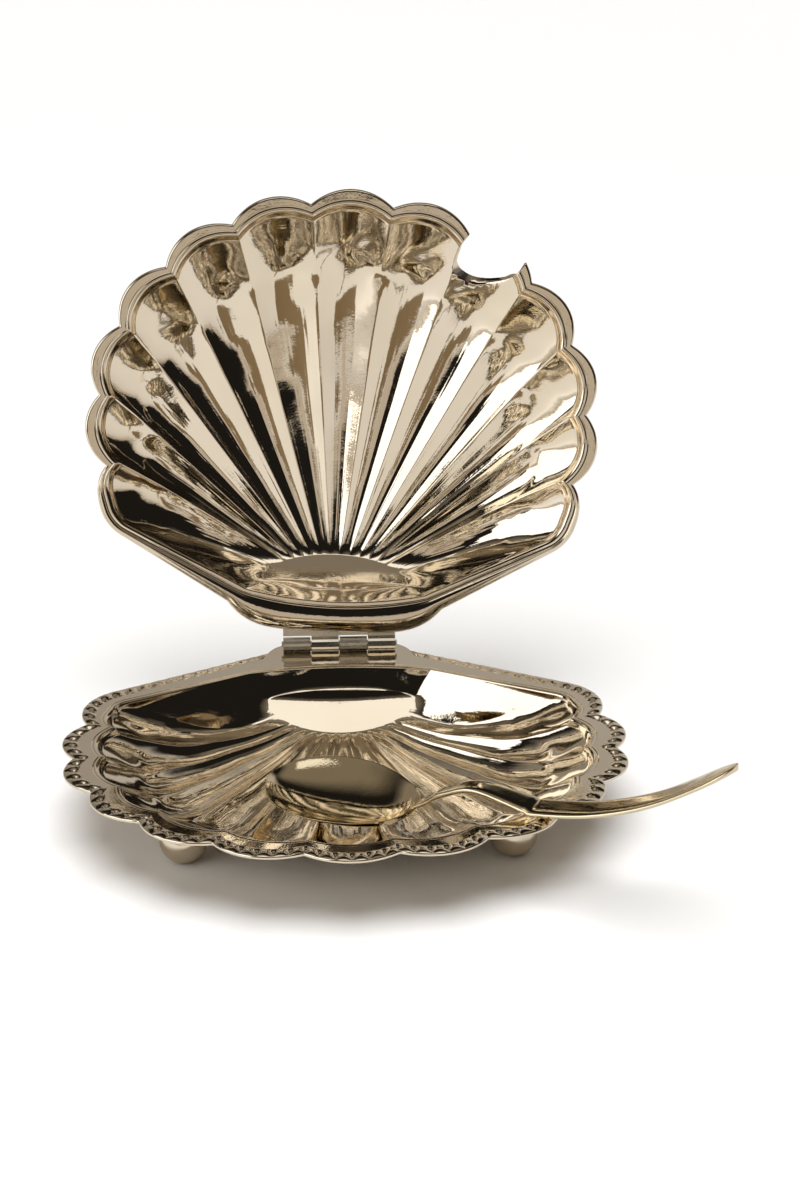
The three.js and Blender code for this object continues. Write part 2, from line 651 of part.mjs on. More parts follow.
function spoonGeometry() {
  const stations = [];
  for (let i = 0; i < BOWL_STATIONS; i++) {
    stations.push(-bowlEnd * Math.cos((i / BOWL_STATIONS) * Math.PI));
  }
  for (let i = 0; i <= HANDLE_STATIONS; i++) {
    stations.push(mix(bowlEnd, spoonEnd, i / HANDLE_STATIONS));
  }
  const skin = new Skin();
  const rows = stations.map((x) => {
    const { half, hollow } = spoonSection(x);
    const inHandle = smooth(clamp01((x / bowlEnd - HANDLE_START_SHARE) / HANDLE_BLEND_SHARE));
    const thickness = mix(SPOON_THICKNESS, HANDLE_THICKNESS, inHandle);
    const z = spoonHeight(x) + (inHandle * thickness) / 2;
    const spots = SPOON_ACROSS.map((across) => rolled(half, hollow, across));
    const top = spots.map((spot) => new THREE.Vector3(x, spot.x, z + spot.y));
    const below = [...top].reverse().map((p) => p.clone().setZ(p.z - thickness));
    return skin.add([...top, ...below]);
  });
  const n = rows[0].length;
  for (let k = 0; k + 1 < rows.length; k++) skin.band(rows[k], rows[k + 1], false);
  const capEnd = (row, faceUp) => {
    for (let i = 0; i + 1 < n / 2; i++) {
      skin.face(row[i], row[i + 1], row[n - 1 - i], faceUp);
      skin.face(row[i + 1], row[n - 2 - i], row[n - 1 - i], faceUp);
    }
  };
  capEnd(rows[0], true);
  capEnd(rows[rows.length - 1], false);
  return skin.geometry().rotateZ(-SPOON_ANGLE).translate(bowlMiddle.x, -bowlMiddle.y, 0);
}

// Materials
const plate = { metalness: 1, roughness: 0.08 };
const paleGold = new THREE.MeshStandardMaterial({ color: 0xd8c7a0, ...plate });
const nickel = new THREE.MeshStandardMaterial({ color: 0xc9c0b0, ...plate });
const spoonGold = new THREE.MeshStandardMaterial({ color: 0xd6c08c, ...plate });

function piece(name, geometry, material) {
  const mesh = new THREE.Mesh(geometry, material);
  mesh.name = name;
  return mesh;
}

// Assembly
const bowl = new THREE.Group();
const lidGroup = new THREE.Group();
lidGroup.rotation.x = -LID_OPENING;
bowl.add(lidGroup);

function buildDish() {
  const shell = shellGeometry(dishOuter, dishInner, beadedBorder(dishOuter, dishInner));
  bowl.add(piece("dish", shell.translate(0, 0, RIM_Z), paleGold));
  bowl.add(piece("foot_front_left", footGeometry(-FRONT_FOOT_SIDE, FRONT_FOOT_AHEAD), paleGold));
  bowl.add(piece("foot_front_right", footGeometry(FRONT_FOOT_SIDE, FRONT_FOOT_AHEAD), paleGold));
  bowl.add(piece("foot_rear", footGeometry(0, REAR_FOOT_AHEAD), paleGold));
}

function buildHinge() {
  const dishPlate = RIM_Z + TOUCH_GAP;
  const lidPlate = LID_RIM_Z + WALL + TOUCH_GAP;
  bowl.add(piece("hinge_leaf_dish", leafGeometry(0, 1, dishPlate, DISH_TAB_BEHIND - LEAF_INSET), nickel));
  lidGroup.add(piece("hinge_leaf_lid", leafGeometry(1, -1, lidPlate, LEAF_WIDTH), nickel));
  bowl.add(piece("hinge_pin", pinGeometry(), nickel));
}

function buildLid() {
  const lid = piece("lid", lidGeometry(), paleGold);
  lid.rotation.z = LID_SKEW;
  lid.position.x = LID_SHIFT;
  lidGroup.add(lid);
}

buildDish();
buildHinge();
buildLid();
bowl.add(piece("spoon", spoonGeometry(), spoonGold));

// The origin is under the middle of the whole object, on the surface that it stands on
bowl.updateMatrixWorld(true);
const box = new THREE.Box3().setFromObject(bowl, true);
const middle = box.getCenter(new THREE.Vector3());
bowl.position.set(-middle.x, -middle.y, -box.min.z);

const part = new THREE.Group();
part.add(bowl);
export default part;
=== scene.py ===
import json
import math

import bmesh
import bpy
import numpy as np
from mathutils import Matrix, Vector
from mathutils.bvhtree import BVHTree


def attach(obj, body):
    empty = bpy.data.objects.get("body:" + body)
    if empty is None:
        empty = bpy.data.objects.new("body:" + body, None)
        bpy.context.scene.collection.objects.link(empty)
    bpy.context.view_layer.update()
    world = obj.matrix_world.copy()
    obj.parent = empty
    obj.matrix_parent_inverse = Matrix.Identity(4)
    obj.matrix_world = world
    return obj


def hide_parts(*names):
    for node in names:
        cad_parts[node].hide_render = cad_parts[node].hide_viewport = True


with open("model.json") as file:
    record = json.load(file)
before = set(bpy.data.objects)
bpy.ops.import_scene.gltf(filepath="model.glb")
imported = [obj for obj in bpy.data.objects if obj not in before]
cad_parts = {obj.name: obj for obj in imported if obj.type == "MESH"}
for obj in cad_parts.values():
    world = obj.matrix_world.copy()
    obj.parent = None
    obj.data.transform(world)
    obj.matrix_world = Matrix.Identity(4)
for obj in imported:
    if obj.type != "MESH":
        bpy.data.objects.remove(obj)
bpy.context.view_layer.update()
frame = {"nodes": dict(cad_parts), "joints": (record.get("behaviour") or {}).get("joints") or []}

# Sizes are the CAD source's, in millimetres, in the frame whose origin is the middle of the hinge axis
MM = 0.001
HINGE = Vector(frame["joints"][0]["pos_m"])
OVAL_HALF_WIDTH = 71.3
OVAL_HALF_DEPTH = 62.7
OVAL_CENTRE_AHEAD = 64
LOBES_EACH_SIDE = 5
LOBE_ANGLE = math.radians(19.3)
LOBE_BULGE = 3.8
EAR_RADIUS = 16
EAR_START_ANGLE = math.radians(27.6)
EAR_BLEND_RATE = 1.7
DISH_NECK_HALF_WIDTH = 20
DISH_NECK_AHEAD = 1.2
DISH_TAB_BEHIND = 5.4
DISH_NECK_POWER = 8
LID_NECK_HALF_WIDTH = 30
LID_NECK_AHEAD = 11
LID_EDGE_AHEAD = 3.5
LID_NECK_POWER = 5
HEEL_HALF_WIDTH = 25
HEEL_CORNER_AHEAD = 14.8
HEEL_AHEAD = 12
HEEL_POWER = 2
WALL = 1.0
DISH_RIM_WIDTH = 8.1
DISH_INNER_BULGE = 2.4
LID_INSET = 3.8
LID_RIM_WIDTH = 3.5
LID_INNER_BULGE = 3.0
BORDER_WIDTH = 4.2
BEAD_HEIGHT = 0.7
WALL_RUN = 16.8
WALL_ROUNDING = 1.25
LIP_DEPTH = 1.7
LIP_RUN = 1.5
SHOULDER_DEPTH = 9.8
FLOOR_DIP = 1.6
FLUTE_DEPTH = 3.2
FLUTE_TAPER = 0.6
FLUTE_END_BACK = 4
FLUTE_END_LENGTH = 20
FLUTE_END_ROUNDING = 2
EAR_SCOOP = 2.2
HEEL_BACK_DEPTH = 5.5
HEEL_FRONT_DEPTH = 15
HEEL_RUN_SHARE = 0.6
HEEL_ROUNDING = 1.35
HEEL_HOLLOW = 1.0
ROOT_HALF_WIDTH = 20
ROOT_AHEAD = 16.5
ROOT_FRONT_DEPTH = 6.5
ROOT_BACK_DEPTH = 1.6
ROOT_SPREAD = 0.5
CLOSED_LENGTH = 8
OPEN_LENGTH = 53
BARREL_RADIUS = 1.9
LID_OPENING = math.radians(102)
LID_SKEW = math.radians(3.4)
LID_SHIFT = -1.8
NOTCH_LOBE = 2
NOTCH_ASIDE = -2.6
NOTCH_WIDTH = 17
NOTCH_HEIGHT = 7.5
FOOT_RADIUS = 6.25
FOOT_FLAT_RADIUS = 2
FOOT_DROP = 19
FRONT_FOOT_SIDE = 42.5
FRONT_FOOT_AHEAD = 90.5
REAR_FOOT_AHEAD = 17.5
SPOON_ANGLE = math.radians(30)
SPOON_ROLL = math.radians(7)
BOWL_LENGTH = 43
BOWL_HALF_WIDTH = 15.5
BOWL_DEPTH = 6.3
SPOON_THICKNESS = 1.2
HANDLE_THICKNESS = 1.9
NECK_HALF_WIDTH = 1.9
HANDLE_HALF_WIDTH = 4
HANDLE_LENGTH = 88
BOWL_TO_NOTCH = 53
BOWL_EGG = 0.12
BOWL_ROUNDING = 0.6
BOWL_END_HALF_WIDTH = 0.3
HANDLE_TIP_LENGTH = 9
HANDLE_TIP_SHARPNESS = 0.0025
HANDLE_SPREAD_SHARE = 0.45
HANDLE_START_SHARE = 0.8
HANDLE_BLEND_SHARE = 0.5
HANDLE_HUMP = 2
HANDLE_LIFT = 23
HANDLE_ROLL_RISE = 0.35
SPOON_ASIDE = 1.8
TOUCH_GAP = 0.3
BOWL_GAP = 0.6
STEEPEST = 0.35
RIM_Z = -(BARREL_RADIUS + TOUCH_GAP)
LID_RIM_Z = RIM_Z + BEAD_HEIGHT + TOUCH_GAP

# Finer steps and finer relief than the solids have
LOBE_STEPS = 48
EAR_STEPS = 44
BACK_STEPS = 36
NECK_STEPS = 20
DENT_PITCH = 4.3
LAND_HEIGHT = 0.45
LAND_LOW_SHARE = 0.35
DENT_DEPTH = 0.85
DENT_CENTRE = 0.66
DENT_SPREAD = 0.2
DENT_HALF_OUTSIDE = 0.4
DENT_HALF_INSIDE = 0.95
DENT_WIDEN_RATE = 1.4
DENT_SQUARENESS = 4
TAIL_START = 0.02
TAIL_END = 0.6
TAIL_DEPTH = 0.35
LID_RIM_CROWN = 0.55
CROWN_BLEND_RATE = 2.5
RIDGE_ROUNDING = 0.16
HUMP_POWER = 0.8
WAVE_FADE_POWER = 0.5
TINY = 1e-12


def mix(a, b, share):
    return a + (b - a) * share


def smooth(share):
    share = np.clip(share, 0, 1)
    return share * share * (3 - 2 * share)


# A rounded hump over a share from 0 to 1
def hump(share):
    return math.sin(math.pi * share) ** HUMP_POWER


def oval_point(angle, inset, bulge):
    out = bulge - inset
    across = (OVAL_HALF_WIDTH + out) * math.sin(angle)
    return np.array([across, OVAL_CENTRE_AHEAD + (OVAL_HALF_DEPTH + out) * math.cos(angle)])


# One edge line all round, from the middle of the front, with what the flutes need at each point
def edge_line(inset, bulge, neck_half_width, neck_corner_ahead, neck_ahead, neck_power):
    spots, in_lobe, scoop, neck, behind = [], [], [], [], []

    def put(spot, place, depth, on_neck, past_lobes=1.0):
        spots.append(spot)
        in_lobe.append(place)
        scoop.append(depth)
        neck.append(on_neck)
        behind.append(past_lobes)

    last_lobe = LOBES_EACH_SIDE + 0.5
    for i in range(round(last_lobe * LOBE_STEPS) + 1):
        place = 2 * (i / LOBE_STEPS - math.floor(i / LOBE_STEPS + 0.5))
        spot = oval_point(i / LOBE_STEPS * LOBE_ANGLE, inset, bulge * (1 - place * place))
        put(spot, place, FLUTE_DEPTH, 0, 0.0)
    valley = oval_point(last_lobe * LOBE_ANGLE, 0, 0)
    centre = valley - EAR_RADIUS * np.array([math.cos(EAR_START_ANGLE), math.sin(EAR_START_ANGLE)])
    radius = EAR_RADIUS - inset
    start = spots[-1] - centre
    corner = np.array([neck_half_width, neck_corner_ahead])
    to_corner = corner - centre
    end_angle = math.atan2(to_corner[1], to_corner[0]) + math.acos(radius / np.linalg.norm(to_corner))

    def ear_spot(share):
        angle = mix(math.atan2(start[1], start[0]), end_angle, share)
        reach = mix(np.linalg.norm(start), radius, smooth(min(1, share * EAR_BLEND_RATE)))
        return centre + reach * np.array([math.cos(angle), math.sin(angle)])

    for i in range(1, EAR_STEPS + 1):
        share = i / EAR_STEPS
        put(ear_spot(share), -1 + share, EAR_SCOOP, 0, float(smooth(share * CROWN_BLEND_RATE)))
    back_start = ear_spot(1)
    for i in range(1, BACK_STEPS + 1):
        put(mix(back_start, corner, i / BACK_STEPS), i / BACK_STEPS, EAR_SCOOP, 0)
    for i in range(1, NECK_STEPS + 1):
        share = math.cos(i / NECK_STEPS * math.pi / 2)
        behind_corner = mix(neck_ahead, neck_corner_ahead, share ** neck_power)
        put(np.array([neck_half_width * share, behind_corner]), 1, 0, 1)
    right = np.array(spots)
    left = right[-2:0:-1] * [-1, 1]

    def both(values):
        return np.array(values + values[-2:0:-1], float)

    whole = {"place": in_lobe, "scoop": scoop, "neck": neck, "behind": behind}
    return {"spots": np.vstack([right, left]), **{name: both(values) for name, values in whole.items()}}


def inner_edge(inset, bulge):
    return edge_line(inset, bulge, HEEL_HALF_WIDTH, HEEL_CORNER_AHEAD, HEEL_AHEAD, HEEL_POWER)


dish_neck = (DISH_NECK_HALF_WIDTH, DISH_NECK_AHEAD, -DISH_TAB_BEHIND, DISH_NECK_POWER)
lid_neck = (LID_NECK_HALF_WIDTH, LID_NECK_AHEAD, LID_EDGE_AHEAD, LID_NECK_POWER)
dish_outer = edge_line(0, LOBE_BULGE, *dish_neck)
lid_outer = edge_line(LID_INSET, LOBE_BULGE, *lid_neck)
dish_inner = inner_edge(DISH_RIM_WIDTH, DISH_INNER_BULGE)
lid_inner = inner_edge(LID_INSET + LID_RIM_WIDTH, LID_INNER_BULGE)


# Where each flute starts: on an oval round the heel's ramp, fuller in front than behind
def root_points(spots):
    away = spots - [0, ROOT_AHEAD]
    half_depth = np.where(away[:, 1] > 0, ROOT_FRONT_DEPTH, ROOT_BACK_DEPTH)
    turn = np.arctan2(away[:, 0] / ROOT_HALF_WIDTH, away[:, 1] / half_depth)
    spread = np.arctan2(away[:, 0], away[:, 1])
    angle = mix(turn, spread, ROOT_SPREAD)
    return np.stack([ROOT_HALF_WIDTH * np.sin(angle), ROOT_AHEAD + half_depth * np.cos(angle)], 1)


# The heel's ramp: its depth, from the back of the oval down to its front
def heel_depth(ahead):
    share = (ahead - (ROOT_AHEAD - ROOT_BACK_DEPTH)) / (ROOT_BACK_DEPTH + ROOT_FRONT_DEPTH)
    return mix(HEEL_BACK_DEPTH, HEEL_FRONT_DEPTH, share)


# A steep start that flattens out, from 0 to 1
def rounded(share, power):
    return 1 - (1 - np.clip(share, 0, 1)) ** power


# The wall's depth at a share of its run: a short steep lip, and then an even slope to the shoulder
def wall_depth(share, run):
    lip = 1 - np.minimum(1, share * run / LIP_RUN)
    return LIP_DEPTH * (1 - lip * lip) + (SHOULDER_DEPTH - LIP_DEPTH) * rounded(share, WALL_ROUNDING)


# How much of a flute is there at a distance past the shoulder; its rounded end is nearest the wall
def flute_growth(past_shoulder, place):
    start = FLUTE_END_BACK * (place * place - 1)
    return rounded((past_shoulder - start) / FLUTE_END_LENGTH, FLUTE_END_ROUNDING)


chance = np.random.default_rng(7)
ANY_PHASE = (0, 6.28)


# Low waves that run along the flutes, left by pressing and hand polishing; each drifts a little sideways
STREAK_TURNS = (41, 67, 97, 131, 178, 229)
STREAK_BENDS = (2, 5)
STREAK_HEIGHT = 0.011
STREAK_DRIFT = 0.9
STREAK_FADE_IN = 12
FLOOR_WAY = 2.5


def streak(turns):
    return turns, chance.uniform(*ANY_PHASE), chance.uniform(*ANY_PHASE), chance.uniform(*STREAK_BENDS)


STREAKS = [streak(turns) for turns in STREAK_TURNS]


def streaks(edge, fall, inward):
    turn = np.arange(len(edge["spots"])) / len(edge["spots"]) * 2 * math.pi
    way = fall + FLOOR_WAY * inward
    total = 0
    for turns, start, drift, bend in STREAKS:
        total = total + np.sin(turns * turn + start + STREAK_DRIFT * np.sin(bend * way + drift))
    return STREAK_HEIGHT * total * smooth(inward * STREAK_FADE_IN) * (1 - inward) ** WAVE_FADE_POWER


# Broad shallow unevenness of pressed and hand-polished metal, as waves in many directions
WAVE_COUNT = 16
WAVE_LENGTHS = (7, 22)
WAVE_SLOPE = 0.03
WAVE_FADE_IN = 6


def wave():
    return chance.uniform(*ANY_PHASE), chance.uniform(*WAVE_LENGTHS), chance.uniform(*ANY_PHASE)


WAVES = [wave() for _ in range(WAVE_COUNT)]


def unevenness(spots):
    total = 0
    for way, length, start in WAVES:
        turns = 2 * math.pi / length
        along = spots[:, 0] * math.cos(way) + spots[:, 1] * math.sin(way)
        total = total + WAVE_SLOPE / turns * np.sin(turns * along + start)
    return total


# A ring of the hollow: "fall" runs down the wall, "inward" then runs over the floor to the root
def hollow_ring(edge, fall, inward):
    spots = edge["spots"]
    root = root_points(spots)
    length = np.linalg.norm(spots - root, axis=1)
    openness = smooth((length - CLOSED_LENGTH) / (OPEN_LENGTH - CLOSED_LENGTH))
    run = mix(length * HEEL_RUN_SHARE, WALL_RUN, openness)
    root_depth = heel_depth(root[:, 1])
    channel = np.sqrt((1 - edge["place"] ** 2) ** 2 + RIDGE_ROUNDING ** 2) - RIDGE_ROUNDING
    scoop = edge["scoop"] * channel * openness
    way = (run * fall + (length - run) * inward) / length
    rise = FLOOR_DIP * 4 * inward * (1 - inward)
    crossing = wall_depth(fall, run) if fall < 1 else mix(SHOULDER_DEPTH, root_depth, inward) + rise
    growth = flute_growth((fall - 1) * run + inward * (length - run), edge["place"])
    depth = mix(root_depth * rounded(way, HEEL_ROUNDING), crossing, openness)
    depth = depth + scoop * growth * (1 - inward) ** FLUTE_TAPER + streaks(edge, fall, inward) * openness
    spot = spots + (root - spots) * way[:, None]
    depth = depth + unevenness(spot) * smooth(way * WAVE_FADE_IN) * (1 - inward) ** WAVE_FADE_POWER
    return np.stack([spot[:, 0], -spot[:, 1], -depth], 1)


# A ring on the rim, a distance in from the outer edge or, below nought, back from the inner one
def rim_ring(outer, inner, distance, z):
    across = inner["spots"] - outer["spots"]
    width = np.linalg.norm(across, axis=1)
    share = distance / width if np.min(distance) >= 0 else 1 + distance / width
    spot = outer["spots"] + across * np.clip(share, 0, 1)[:, None]
    return np.stack([spot[:, 0], -spot[:, 1], np.broadcast_to(z, len(spot))], 1)


# Where the rings lie down the wall and over the floor, closer together where the surface bends more
STEEP_WALL_SHARES = [0.02, 0.035, 0.06, 0.09, 0.13, 0.18, 0.24, 0.31, 0.38]
WALL_SHARES = STEEP_WALL_SHARES + [0.46, 0.54, 0.62, 0.7, 0.78, 0.86, 0.93, 1]
NEAR_FLOOR_SHARES = [0.02, 0.05, 0.09, 0.14, 0.2, 0.27, 0.34, 0.42, 0.5]
FLOOR_SHARES = NEAR_FLOOR_SHARES + [0.58, 0.66, 0.74, 0.81, 0.87, 0.92, 0.96, 1]
UNDER_RIM_DISTANCES = (0.3, 1.2, 2.2)
UNDER_LIP_DISTANCES = (-0.9, -0.3)
UNDER_WALL_SHARES = (0.03, 0.09, 0.18, 0.31, 0.46, 0.62, 0.78, 0.93)
UNDER_FLOOR_SHARES = (0.02, 0.1, 0.2, 0.32, 0.45, 0.58, 0.7, 0.8, 0.88, 0.95, 1)
LIP_SHARES = (0.2, 0.4, 0.6, 0.8)
CROWN_SHARES = (0.12, 0.25, 0.4, 0.55, 0.7, 0.82, 0.92)
RAMP_SHARES = (0.03, 0.07, 0.13, 0.2, 0.3, 0.42, 0.55, 0.7, 0.85)

# Pairs of a distance in from the edge and a height: the dish's rounded edge, the lid's rolled hem from
# below to above, and the engraved line on the rim, whose distances are from the inner edge
DISH_EDGE = ((0.12, -0.92), (0.02, -0.72), (0.0, -0.45), (0.05, -0.18), (0.2, -0.03))
HEM_BELOW = ((1.95, -1.1), (1.8, -1.4), (1.5, -1.8), (1.1, -2.05), (0.65, -2.1), (0.25, -1.9))
HEM_ABOVE = ((0.0, -1.5), (-0.1, -1.0), (-0.05, -0.55), (0.1, -0.2), (0.3, -0.04))
LINE_ON_RIM = ((1.75, 0.0), (1.55, -0.07), (1.4, -0.12), (1.25, -0.07), (1.05, 0.0), (0.98, 0.0))
BORDER_DISTANCES = (0.5, 0.9, 1.3, 1.7, 2.1, 2.5, 2.9, 3.3, 3.7, 4.1)
DISH_FLAT_DISTANCES = (4.3, 4.45, -2.05, -1.85)
LID_FLAT_START = 0.55
LID_CROWN_START = 0.7
LID_CROWN_END = -2.05
LID_FLAT_END = -1.85
JUST_BEFORE_INNER_EDGE = -1e-6
RINGS_HEM_REPLACES = 2


def hollow_rings(edge):
    rings = [hollow_ring(edge, s, 0) for s in WALL_SHARES]
    return rings + [hollow_ring(edge, 1, s) for s in FLOOR_SHARES]


# A rounded step from the flat rim down into the wall
def lip_rings(flat, corner, wall):
    return [(1 - s) ** 2 * flat + 2 * s * (1 - s) * corner + s * s * wall for s in LIP_SHARES]


# Heights of the punched border at a distance in from the edge: drop-shaped dents between low lands
def border_height(edge, distance):
    spots = edge["spots"]
    steps = np.linalg.norm(np.roll(spots, -1, 0) - spots, axis=1)
    along = np.concatenate([[0], np.cumsum(steps)[:-1]])
    count = round(steps.sum() / DENT_PITCH)
    offset = (along / steps.sum() * count + 0.5) % 1 - 0.5
    offset = offset * DENT_PITCH
    share = np.clip(distance / BORDER_WIDTH, 0, 1)
    across = hump(share) if share < 1 else 0
    land = LAND_HEIGHT * across * mix(LAND_LOW_SHARE, 1, np.abs(np.sin(math.pi * offset / DENT_PITCH)))
    half = mix(DENT_HALF_OUTSIDE, DENT_HALF_INSIDE, smooth(share * DENT_WIDEN_RATE))
    radial = math.exp(-((share - DENT_CENTRE) / DENT_SPREAD) ** 2)
    if share > TAIL_START:
        radial += TAIL_DEPTH * (1 - smooth(share / TAIL_END))
    dent = DENT_DEPTH * radial * np.exp(-((offset / half) ** DENT_SQUARENESS))
    return (land - dent) * (1 - edge["neck"])


# The shell's underside: rings of the top, lowered by the wall, and further where the surface is steep
def base_under(outer, inner, thickness):
    rings = [rim_ring(outer, inner, d, 0.0) for d in UNDER_RIM_DISTANCES]
    rings += [rim_ring(outer, inner, d, 0.0) for d in UNDER_LIP_DISTANCES]
    rings += [hollow_ring(inner, s, 0) for s in UNDER_WALL_SHARES]
    rings += [hollow_ring(inner, 1, s) for s in UNDER_FLOOR_SHARES]
    grid = np.array(rings)
    inwards = np.gradient(grid, axis=0)
    around = np.roll(grid, -1, 1) - np.roll(grid, 1, 1)
    normal = np.cross(inwards, around)
    normal /= np.linalg.norm(normal, axis=2, keepdims=True) + TINY
    level = np.maximum(np.abs(normal[:, :, 2]), STEEPEST)
    level[:len(UNDER_RIM_DISTANCES)] = 1
    lowered = grid.copy()
    lowered[:, :, 2] -= thickness / level
    return list(lowered)


pole = np.array([0, -ROOT_AHEAD, -heel_depth(ROOT_AHEAD) - HEEL_HOLLOW])


# A ring beside the outer edge; a distance below nought is beyond it
def edge_ring(outer, inner, distance, z):
    across = inner["spots"] - outer["spots"]
    spot = outer["spots"] + across / np.linalg.norm(across, axis=1)[:, None] * distance
    return np.column_stack([spot * [1, -1], np.full(len(spot), z)])


# Rings over the flat rim between two others, raised where the rim is rounded, behind the lobes
def crowned(first, last, height):
    return [mix(first, last, share) + np.outer(height * hump(share), [0, 0, 1]) for share in CROWN_SHARES]


# The ramp at the heel: a shallow bowl inside the ring where the flutes start
def ramp_rings(root):
    rings = []
    for share in RAMP_SHARES:
        ring = mix(root, pole, share)
        ring[:, 2] = -heel_depth(-ring[:, 1]) - HEEL_HOLLOW * (1 - (1 - share) ** 2)
        rings.append(ring)
    return rings


# A closed shell with its rim's top at height 0. Its rings run from the underside's middle outwards,
# round the edge, and over the rim inwards to the middle of the top.
def shell_mesh(outer, inner, bordered):
    under = base_under(outer, inner, WALL)
    if bordered:
        edge = [edge_ring(outer, inner, d, z) for d, z in DISH_EDGE]
        rim = [rim_ring(outer, inner, d, border_height(outer, d)) for d in BORDER_DISTANCES]
        rim += [rim_ring(outer, inner, d, 0.0) for d in DISH_FLAT_DISTANCES]
    else:
        under = under[RINGS_HEM_REPLACES:]
        edge = [edge_ring(outer, inner, d, z) for d, z in HEM_BELOW + HEM_ABOVE]
        first = rim_ring(outer, inner, LID_CROWN_START, 0.0)
        last = rim_ring(outer, inner, LID_CROWN_END, 0.0)
        rim = [rim_ring(outer, inner, LID_FLAT_START, 0.0), first]
        rim += [*crowned(first, last, LID_RIM_CROWN * outer["behind"]), last]
        rim += [rim_ring(outer, inner, LID_FLAT_END, 0.0)]
    line = [rim_ring(outer, inner, -d, z) for d, z in LINE_ON_RIM]
    hollow = hollow_rings(inner)
    lip = lip_rings(line[-1], rim_ring(outer, inner, JUST_BEFORE_INNER_EDGE, 0.0), hollow[0])
    return under[::-1] + edge + rim + line + lip + hollow + ramp_rings(hollow[-1])


# One closed mesh from rings of equal count and a middle point at each end
def shell_object(name, rings, pole_top, pole_under):
    n = len(rings[0])
    verts = np.vstack([pole_under[None], *rings, pole_top[None]])
    last = len(verts) - 1
    start = 1 + np.arange(len(rings)) * n
    i = np.arange(n)
    j = (i + 1) % n
    faces = [[0, 1 + b, 1 + a] for a, b in zip(i, j)]
    quads = []
    for s, t in zip(start[:-1], start[1:]):
        quads.append(np.stack([s + i, s + j, t + j, t + i], 1))
    faces += np.vstack(quads).tolist()
    faces += [[start[-1] + a, start[-1] + b, last] for a, b in zip(i, j)]
    return mesh_object(name, verts, faces)


def mesh_object(name, verts, faces):
    mesh = bpy.data.meshes.new(name)
    mesh.from_pydata((np.asarray(verts) * MM).tolist(), [], [list(map(int, f)) for f in faces])
    mesh.validate()
    mesh.update()
    mesh.shade_smooth()
    obj = bpy.data.objects.new(name, mesh)
    bpy.context.scene.collection.objects.link(obj)
    return obj


# Turns all faces to point out
def outwards(obj):
    bm = bmesh.new()
    bm.from_mesh(obj.data)
    bmesh.ops.recalc_face_normals(bm, faces=bm.faces)
    bm.to_mesh(obj.data)
    bm.free()
    return obj


def place(obj, matrix):
    obj.data.transform(matrix)
    return outwards(obj)


to_frame = Matrix.Translation(HINGE)

# Dish
dish_rings = shell_mesh(dish_outer, dish_inner, True)
dish = shell_object("dish_shell", dish_rings, pole, pole - [0, 0, WALL])
place(dish, to_frame @ Matrix.Translation((0, 0, RIM_Z * MM)))

# Lid, hollow side down when shut, askew in its hinge, then opened
lid_rings = shell_mesh(lid_outer, lid_inner, False)
lid = shell_object("lid_shell", lid_rings, pole, pole - [0, 0, WALL])
lid.data.transform(Matrix.Translation((0, 0, LID_RIM_Z * MM)) @ Matrix.Rotation(math.pi, 4, "Y"))


def notch_angle():
    reach = np.linalg.norm(oval_point(NOTCH_LOBE * LOBE_ANGLE, LID_INSET, 0) - [0, OVAL_CENTRE_AHEAD])
    return NOTCH_LOBE * LOBE_ANGLE + NOTCH_ASIDE / reach


ARCH_STEPS = 24


# The notch is cut with an arch-shaped tool
def notch_tool():
    half = NOTCH_WIDTH / 2
    line = [(-half, -WALL), (half, -WALL)]
    for k in range(ARCH_STEPS + 1):
        a = k / ARCH_STEPS * math.pi
        line.append((half * math.cos(a), WALL + (NOTCH_HEIGHT - WALL) * math.sin(a)))
    rim = oval_point(notch_angle(), LID_INSET, 0)
    inner = oval_point(notch_angle(), LID_INSET + LID_RIM_WIDTH + WALL_RUN / 2, 0)
    out = (rim - inner) / np.linalg.norm(rim - inner)
    side = np.array([out[1], -out[0]])
    reach = np.linalg.norm(rim - inner) + 2 * LOBE_BULGE
    verts = []
    for depth in (0, reach):
        for v, z in line:
            x, ahead = inner + out * depth + side * v
            verts.append((x, -ahead, z + LID_RIM_Z))
    n = len(line)
    faces = [list(range(n))[::-1], list(range(n, 2 * n))]
    faces += [[i, (i + 1) % n, n + (i + 1) % n, n + i] for i in range(n)]
    return outwards(mesh_object("notch_tool", verts, faces))


outwards(lid)
tool = notch_tool()
cut = lid.modifiers.new("cut", "BOOLEAN")
cut.operation = "DIFFERENCE"
cut.solver = "EXACT"
cut.object = tool
bpy.context.view_layer.update()
cut_mesh = bpy.data.meshes.new_from_object(lid.evaluated_get(bpy.context.evaluated_depsgraph_get()))
lid.modifiers.clear()
lid.data = cut_mesh
bpy.data.objects.remove(tool)
swing = Matrix.Rotation(-LID_OPENING, 4, "X") @ Matrix.Translation((LID_SHIFT * MM, 0, 0))
swing = swing @ Matrix.Rotation(LID_SKEW, 4, "Z")
place(lid, to_frame @ swing)

# Feet: balls with a small flat below, pressed up against the dish's underside
dish_spots = [v.co for v in dish.data.vertices]
dish_faces = [list(p.vertices) for p in dish.data.polygons]
tree = BVHTree.FromPolygons(dish_spots, dish_faces)
FOOT_AROUND = 48
FOOT_UP = 36
FOOT_TOP_SHARE = 0.97
FOOT_BEVEL = 0.25
UNDERSIDE_LAP = 0.0001


# Faces over loops of equal count, with a flat cap at each end
def tube_faces(loops, count):
    faces = []
    for k in range(loops - 1):
        near, far = k * count, (k + 1) * count
        for i in range(count):
            j = (i + 1) % count
            faces.append([near + i, near + j, far + j, far + i])
    faces.append(list(range(count))[::-1])
    faces.append([(loops - 1) * count + i for i in range(count)])
    return faces


